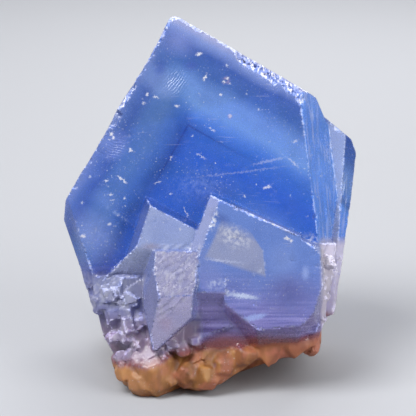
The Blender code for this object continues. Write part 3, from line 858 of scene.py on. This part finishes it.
# Small white marks on the big face and on the front crystals: centre, half sizes, heading, strength
MARKS = [
    ((-2.2, 12, 82.3), (0.95, 0.42), 10, 1.0),
    ((-0.7, 12, 76.8), (1.2, 0.30), 62, 1.0),
    ((4.7, 12, 76.5), (0.5, 0.55), 20, 0.8),
    ((3.8, 12, 75.6), (0.4, 0.3), 0, 0.8),
    ((5.2, 12, 75.2), (0.25, 0.3), 0, 0.7),
    ((4.5, 12, 79.6), (0.4, 0.4), 0, 0.8),
    ((3.0, 12, 72.6), (0.45, 0.4), 0, 0.8),
    ((1.3, 12, 64.0), (0.5, 0.35), 0, 0.8),
    ((0.5, 12, 64.5), (0.3, 0.3), 0, 0.6),
    ((5.3, 12, 67.4), (0.3, 0.45), 0, 0.5),
    ((20.9, 12, 61.4), (0.9, 0.35), 15, 0.5),
    ((-20.6, 12, 52.2), (1.9, 0.28), -38, 0.9),
    ((-24.4, 12, 51.9), (0.7, 0.3), 0, 0.8),
    ((-23.6, 12, 41.5), (0.5, 0.4), 0, 0.8),
    ((14.2, 12, 50.4), (1.2, 0.4), 12, 0.9),
    ((-1.6, 12, 57.8), (1.6, 0.20), -30, 0.7),
    ((-8.8, 12, 57.4), (0.9, 0.22), 60, 0.6),
    ((8.0, 12, 54.0), (13.5, 0.22), 7, 0.2),
    ((14.5, 12, 56.6), (5.0, 0.35), 12, 0.25),
    ((20.5, 12, 56.2), (2.2, 0.25), -42, 0.5),
    ((-23.2, 12, 63.1), (0.6, 0.5), 20, 1.0),
    ((-22.8, 12, 62.2), (0.4, 0.6), 0, 1.0),
    ((-23.8, 12, 61.8), (0.3, 0.35), 0, 0.8),
    ((-14.6, 12, 72.6), (0.35, 0.6), 0, 0.7),
    ((-15.4, 12, 70.6), (0.5, 0.4), 0, 0.6),
    ((-12.4, 12, 72.0), (0.9, 0.35), -30, 0.7),
    ((-18.6, 12, 59.2), (0.5, 0.5), 0, 0.9),
    ((-7.6, 12, 69.8), (0.8, 0.3), 0, 0.8),
    ((-30.0, 12, 38.6), (0.8, 0.6), 0, 0.9),
    ((-23.4, 12, 48.6), (0.9, 0.16), 4, 0.8),
    ((-23.0, 12, 47.3), (0.7, 0.16), 12, 0.7),
    ((-30.2, 12, 46.6), (0.5, 0.25), 40, 0.8),
    ((-5.2, 12, 44.2), (1.6, 0.18), -65, 0.8),
    ((-8.9, 12, 48.8), (0.5, 0.2), 0, 0.7),
    ((-12.0, 12, 51.5), (1.2, 0.2), 15, 0.6),
    ((-20.0, 12, 47.6), (0.3, 0.25), 0, 0.8),
    ((8.8, 12, 48.2), (0.3, 0.3), 0, 0.8),
    ((-28.4, 12, 52.8), (0.35, 0.3), 0, 0.7),
    ((12.2, 12, 69.0), (0.3, 0.3), 0, 0.7),
    ((16.5, 0, 41.2), (2.6, 0.4), -26, 0.9),
    ((13.0, 0, 42.6), (1.4, 0.3), -26, 0.6),
    ((18.6, 0, 38.2), (0.9, 0.5), -20, 0.9),
    ((19.6, 0, 37.6), (0.5, 0.4), 0, 0.8),
    ((-6.5, 3, 40.4), (0.4, 0.3), 0, 0.6),
]

# Fracture ripples round the blow at the upper left edge, as far apart as in the photograph. They show in two
# patches, given as blots are.
RIPPLES_FROM = (-17.5, 12, 83.0)
RIPPLE_SPACING = 0.62
RIPPLED = [((-7.6, 12, 75.8), (3.8, 4.2), 0, 0.8, 0.7), ((-22.4, 12, 60.0), (3.2, 3.4), 0, 0.8, 0.7)]

# Honey from brown to pale, by its upright streaks
HONEY = [(0.30, "#5e3418"), (0.43, "#7e4c22"), (0.54, "#96602a"), (0.66, "#b48046")]

FLUORITE_IOR = 1.434

# The big face's marks lie deeper than this, and those of the crystals in front of it less deep
FRONT_DEPTH = 8.0


def on_big_face(entries):
    """The marks, or the stains and painted flashes, whose centre is on the big face."""
    return [entry for entry in entries if entry[0][1] > FRONT_DEPTH]


def on_front_crystals(entries):
    """The marks, or the stains and painted flashes, whose centre is on the crystals in front of the big face.
    """
    return [entry for entry in entries if entry[0][1] <= FRONT_DEPTH]


def torn_place(tree, place):
    """The place shifted by a noise of 0.4 mm grains, by which marks and stains get a torn outline."""
    grains = add(tree, "TexNoise", {"Vector": place, "Scale": 2.6, "Detail": 3.0}, "Color")
    centred = add(tree, "VectorMath", [grains, (0.5, 0.5, 0.5)], operation="SUBTRACT")
    return add(tree, "VectorMath", [centred, (1.5, 1.5, 1.5), place], operation="MULTIPLY_ADD")


def honey_colour(tree, place):
    """Honey in upright streaks, pinker towards the right and in patches, sandier at the far left."""
    streaks = add(tree, "ValToRGB", [pattern(tree, place, "honey streaks")], stops=HONEY)
    across = add(tree, "SeparateXYZ", [place])
    to_right = add(tree, "MapRange", [across, 2.0, 20.0, 0.0, 0.6])
    patches = pattern(tree, place, "pink honey", most=0.6)
    pink = add(tree, "Math", [to_right, patches], operation="ADD", use_clamp=True)
    to_left = add(tree, "MapRange", [across, -8.0, -19.0, 0.0, 0.7])
    return laid_over(tree, streaks, [(pink, "#c0745a"), (to_left, "#c88f5c")])


def body_colour(tree, place, torn, mask, stains_and_flashes, panels):
    """The mineral's colour with painted light in it: the blue zones, the purple below them, the tones of the
    faces with their painted light and shade, stains and painted flashes of what shows from inside, faint
    clouds, and the rusty seam and the honey at the foot, each laid over the last."""
    lines = pattern(tree, place, "growth lines")
    lilac = add(tree, "Mix", {0: lines, 6: "#6c5aa0", 7: "#a294d4"}, 2, data_type="RGBA")
    tone = add(tree, "Attribute", out="Color", attribute_name="tone")
    pale_ground = add(tree, "Math", [mask["wedge"], mask["broken"]], operation="MAXIMUM")
    spared = add(tree, "Math", [pale_ground, -0.62, 0.75], operation="MULTIPLY_ADD")
    purple = add(tree, "Math", [mask["purple"], spared], operation="MULTIPLY")
    layers = [(mask["purple"], lilac), (tone.node.outputs["Alpha"], tone), (purple, lilac)]
    layers += [(panel(tree, place, sides, strength), code) for sides, code, strength in panels]
    crumbs = pattern(tree, place, "crumbs")
    # Stains, and painted flashes of light from inner cracks and lit patches
    for centre, half, heading, code, strength, soft, crumbled in stains_and_flashes:
        share = blot(tree, torn, centre, half, heading, soft, strength)
        if crumbled:
            share = add(tree, "Math", [share, crumbs], operation="MULTIPLY")
        layers.append((share, code))
    layers += [
        (pattern(tree, place, "pale clouds", most=0.10), "#7898e0"),
        (pattern(tree, place, "dim clouds", most=0.14), "#39549c"),
        (add(tree, "MapRange", [mask["rust"], 0.0, 1.0, 0.0, 0.9]), "#964f46"),
        (add(tree, "MapRange", [mask["honey"], 0.3, 0.9]), honey_colour(tree, place)),
    ]
    return laid_over(tree, zoned_blue(tree, place), layers)


def whitened(tree, place, torn, mask, rough_ground, frost, named):
    """Share of white: the strongest of the named marks, specks, dust, frosted bruises, worn rims with a
    painted edge highlight, partings between fragments, scratches, rubble and striae. Each of the others is a
    product of masks and patterns."""
    wear_and_sheen = pattern(tree, place, "wear_and_sheen")
    # Painted highlight and wear: a white rim along every outward edge, in patches, stands partly for light
    # caught on the edges
    rim = add(tree, "MapRange", [mask["edge"], 0.1, 0.8])
    unbattered = add(tree, "Math", [mask["battered"], -0.6, 0.75], operation="MULTIPLY_ADD")
    scratches = add(tree, "Math", [pattern(tree, place, "rising scratches"),
                                   pattern(tree, place, "falling scratches")], operation="MAXIMUM")
    products = [
        (pattern(tree, place, "specks"), pattern(tree, place, "where specks lie", most=0.7)),
        (pattern(tree, place, "dust"), pattern(tree, place, "where dust lies", most=0.56)),
        (mask["bruise"], mask["battered"], pattern(tree, place, "glints", most=frost)),
        (rim, wear_and_sheen, unbattered, pattern(tree, place, "patches of rim", 0.25)),
        (mask["parting"], wear_and_sheen, 0.28),
        (scratches, pattern(tree, place, "where scratches lie", most=0.16)),
        (rough_ground, pattern(tree, place, "rubble", most=0.28)),
        (mask["striated"], pattern(tree, place, "striae", most=0.26)),
    ]
    shares = [blot(tree, torn, *mark, strength=strength) for *mark, strength in named]
    for share, *factors in products:
        for factor in factors:
            share = add(tree, "Math", [share, factor], operation="MULTIPLY")
        shares.append(share)
    white = shares[0]
    for share in shares[1:]:
        white = add(tree, "Math", [white, share], operation="MAXIMUM")
    return white


def relief(tree, place, torn, mask, rough_ground, grains):
    """Bump: a fine grain, stronger on bruised and broken ground, and fracture ripples, which are the sine of
    the distance from the blow, wavered by a noise."""
    waver = add(tree, "Math", [pattern(tree, place, "ripple waver"), 14.0], operation="MULTIPLY")
    from_blow = add(tree, "VectorMath", [place, RIPPLES_FROM], "Value", operation="DISTANCE")
    turns = add(tree, "Math", [from_blow, 2 * math.pi / RIPPLE_SPACING, waver], operation="MULTIPLY_ADD")
    patches = [blot(tree, torn, *patch) for patch in RIPPLED]
    rippled = add(tree, "Math", [add(tree, "Math", [turns], operation="SINE"),
                                 add(tree, "Math", patches, operation="MAXIMUM")], operation="MULTIPLY")
    rough = add(tree, "Math", [rough_ground, 0.6], operation="MULTIPLY")
    worked = add(tree, "Math", [mask["bruise"], rough], operation="MAXIMUM")
    strength = add(tree, "Math", [worked, 0.8, 0.12], operation="MULTIPLY_ADD")
    height = add(tree, "Math", [grains, strength, rippled], operation="MULTIPLY_ADD")
    return add(tree, "Bump", {"Height": height, "Strength": 0.3, "Distance": 0.2 * MM})


def fluorite(name, clarity, roughness, frost, gloss, absorbed, density, glow=0.0,
             named=(), stains_and_flashes=(), panels=()):
    """Fluorite, calcium fluoride, in one of its finishes.

    clarity is its plain transmission, frost how much a fracture whitens it, gloss the weight of its clear
    coat, and glow the share of light scattered under the surface. absorbed is the colour it takes on with
    thickness. The named marks, stains with painted flashes and panels are those on the finish's own faces.
    """
    finish = bpy.data.materials.new(name)
    finish.use_nodes = True
    tree = finish.node_tree
    shader = tree.nodes["Principled BSDF"]
    place = growth_place(tree)
    torn = torn_place(tree, place)
    mask = {key: add(tree, "Attribute", out="Fac", attribute_name=key) for key in FINISH_MASKS}
    rough_ground = add(tree, "Math", [mask["broken"], mask["wedge_top"]], operation="MAXIMUM")
    grains = pattern(tree, place, "surface grain")
    white = whitened(tree, place, torn, mask, rough_ground, frost, named)

    chipped = add(tree, "Math", [mask["bruise"], mask["battered"]], operation="MULTIPLY")
    chipped = add(tree, "MapRange", [chipped, 0.0, 1.0, 0.0, 0.75])
    colour = body_colour(tree, place, torn, mask, stains_and_flashes, panels)
    colour = laid_over(tree, colour, [(chipped, "#4c68b0"), (white, "#e4e3ea")])
    dulled = add(tree, "Math", [white, 0.3], operation="MULTIPLY")
    dulled = add(tree, "Math", [mask["broken"], 0.16, dulled], operation="MULTIPLY_ADD")
    rough = add(tree, "Math", [grains, 0.3, roughness - 0.1], operation="MULTIPLY_ADD", use_clamp=True)
    rough = add(tree, "Math", [rough, dulled], operation="ADD", use_clamp=True)
    tree.links.new(colour, shader.inputs["Base Color"])
    tree.links.new(rough, shader.inputs["Roughness"])
    tree.links.new(relief(tree, place, torn, mask, rough_ground, grains), shader.inputs["Normal"])

    shader.inputs["IOR"].default_value = FLUORITE_IOR
    shader.inputs["Transmission Weight"].default_value = clarity
    shader.inputs["Coat Weight"].default_value = gloss
    shader.inputs["Coat Roughness"].default_value = 0.12
    shader.inputs["Coat IOR"].default_value = FLUORITE_IOR
    shader.inputs["Subsurface Weight"].default_value = glow
    shader.inputs["Subsurface Radius"].default_value = (0.5, 0.75, 1.0)
    shader.inputs["Subsurface Scale"].default_value = 1.2 * MM
    body = add(tree, "VolumeAbsorption", {"Color": absorbed, "Density": density})
    tree.links.new(body, tree.nodes["Material Output"].inputs["Volume"])
    return finish


def finishes(mesh):
    """Four finishes of one mineral, given to the faces by their masks."""
    mesh.materials.clear()
    # Growth faces of the big crystal: glassy and seen into, a blue that deepens with thickness
    mesh.materials.append(fluorite("clear_blue_fluorite", clarity=0.55, roughness=0.2, frost=0.85,
                                   gloss=0.3, absorbed="#5f8fe6", density=50,
                                   named=on_big_face(MARKS), stains_and_flashes=on_big_face(STAINS_AND_FLASHES)))
    # Battered edges: crushed to a white frost that hardly lets light in
    mesh.materials.append(fluorite("bruised_fluorite", clarity=0.2, roughness=0.40, frost=1.0,
                                   gloss=0.08, absorbed="#5f8fe6", density=50,
                                   stains_and_flashes=on_front_crystals(STAINS_AND_FLASHES)))
    # The base: waxy, warm, and lit a little from within
    mesh.materials.append(fluorite("honey_fluorite", clarity=0.45, roughness=0.48, frost=0.3,
                                   gloss=0.0, absorbed="#e0a868", density=30, glow=0.3))
    # The crystals in front: cleaved and a little duller, greyish violet with cracks that flash inside
    mesh.materials.append(fluorite("pale_violet_fluorite", clarity=0.55, roughness=0.2, frost=0.85,
                                   gloss=0.12, absorbed="#5f8fe6", density=50,
                                   named=on_front_crystals(MARKS), stains_and_flashes=on_front_crystals(STAINS_AND_FLASHES),
                                   panels=PANELS))
    starts = np.empty(len(mesh.polygons), np.int32)
    mesh.polygons.foreach_get("loop_start", starts)
    corners = np.empty(len(mesh.loops), np.int32)
    mesh.loops.foreach_get("vertex_index", corners)
    sides = np.diff(np.append(starts, len(corners)))
    face = {}
    for key in ("bruise", "broken", "honey", "front"):
        values = np.empty(len(mesh.vertices), np.float32)
        mesh.attributes[key].data.foreach_get("value", values)
        face[key] = np.add.reduceat(values[corners], starts) / sides
    index = np.where(face["front"] > 0.5, 3, 0)
    index = np.where(face["bruise"] + 0.2 * face["broken"] > 0.6, 1, index)
    index = np.where(face["honey"] > 0.5, 2, index)
    mesh.polygons.foreach_set("material_index", index.astype(np.int32))


# The studio

def floor():
    """A plain pale floor, larger than any view."""
    side = 1.6
    corners = [(-side, -side, 0), (side, -side, 0), (side, side, 0), (-side, side, 0)]
    mesh = bpy.data.meshes.new("studio_floor")
    mesh.from_pydata(corners, [], [(0, 1, 2, 3)])
    ground = bpy.data.objects.new("studio_floor", mesh)
    bpy.context.scene.collection.objects.link(ground)
    paper = bpy.data.materials.new("matt_paper")
    paper.use_nodes = True
    paper.node_tree.nodes["Principled BSDF"].inputs["Base Color"].default_value = linear("#8c8d91")
    paper.node_tree.nodes["Principled BSDF"].inputs["Roughness"].default_value = 0.9
    mesh.materials.append(paper)


def lamp(name, place, target, size, watts):
    """A square soft white light of a size in metres at place, turned to its target, both in growth
    millimetres."""
    light = bpy.data.lights.new(name, "AREA")
    light.size = size
    light.energy = watts
    obj = bpy.data.objects.new(name, light)
    at, to = to_world(np.array(place, float)), to_world(np.array(target, float))
    obj.location = at
    obj.rotation_euler = Vector(to - at).to_track_quat("-Z", "Y").to_euler()
    bpy.context.scene.collection.objects.link(obj)


def studio():
    """An even pale sky, a large key light from the upper left, a fill from the right and one from behind."""
    world = bpy.data.worlds.new("studio")
    bpy.context.scene.world = world
    world.use_nodes = True
    world.node_tree.nodes["Background"].inputs["Color"].default_value = linear("#dfe3ea")
    world.node_tree.nodes["Background"].inputs["Strength"].default_value = 0.46
    middle = (0, 25, 45)
    lamp("key", (-260, -330, 420), middle, 0.35, 6.2)
    lamp("fill", (380, -320, 180), middle, 0.4, 2.9)
    lamp("back", (60, 300, 420), middle, 0.4, 2.6)
    bpy.context.scene.view_settings.view_transform = "Standard"


def camera():
    """The photograph's view: square on to the big face, with a long lens."""
    middle = (0.0, APEX[1], (FOOT_ROW - PHOTO_PIXELS / 2) * PIXEL_SIZE)
    lens = bpy.data.cameras.new("photo_view")
    lens.sensor_width = SENSOR
    lens.lens = SENSOR * CAMERA_DISTANCE / (PHOTO_PIXELS * PIXEL_SIZE)
    lens.clip_start = 0.01
    view = bpy.data.objects.new("photo_view", lens)
    view.location = to_world(np.array([middle[0], middle[1] - CAMERA_DISTANCE, middle[2]]))
    view.rotation_euler = (math.pi / 2 - LEAN, 0, 0)
    bpy.context.scene.collection.objects.link(view)
    bpy.context.scene.camera = view


piece, surface = fluorite_surface()
finishes(surface)
surface.shade_smooth()
surface.set_sharp_from_angle(angle=math.radians(28))
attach(piece, "root")
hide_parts("fluorite_cluster")
floor()
studio()
camera()
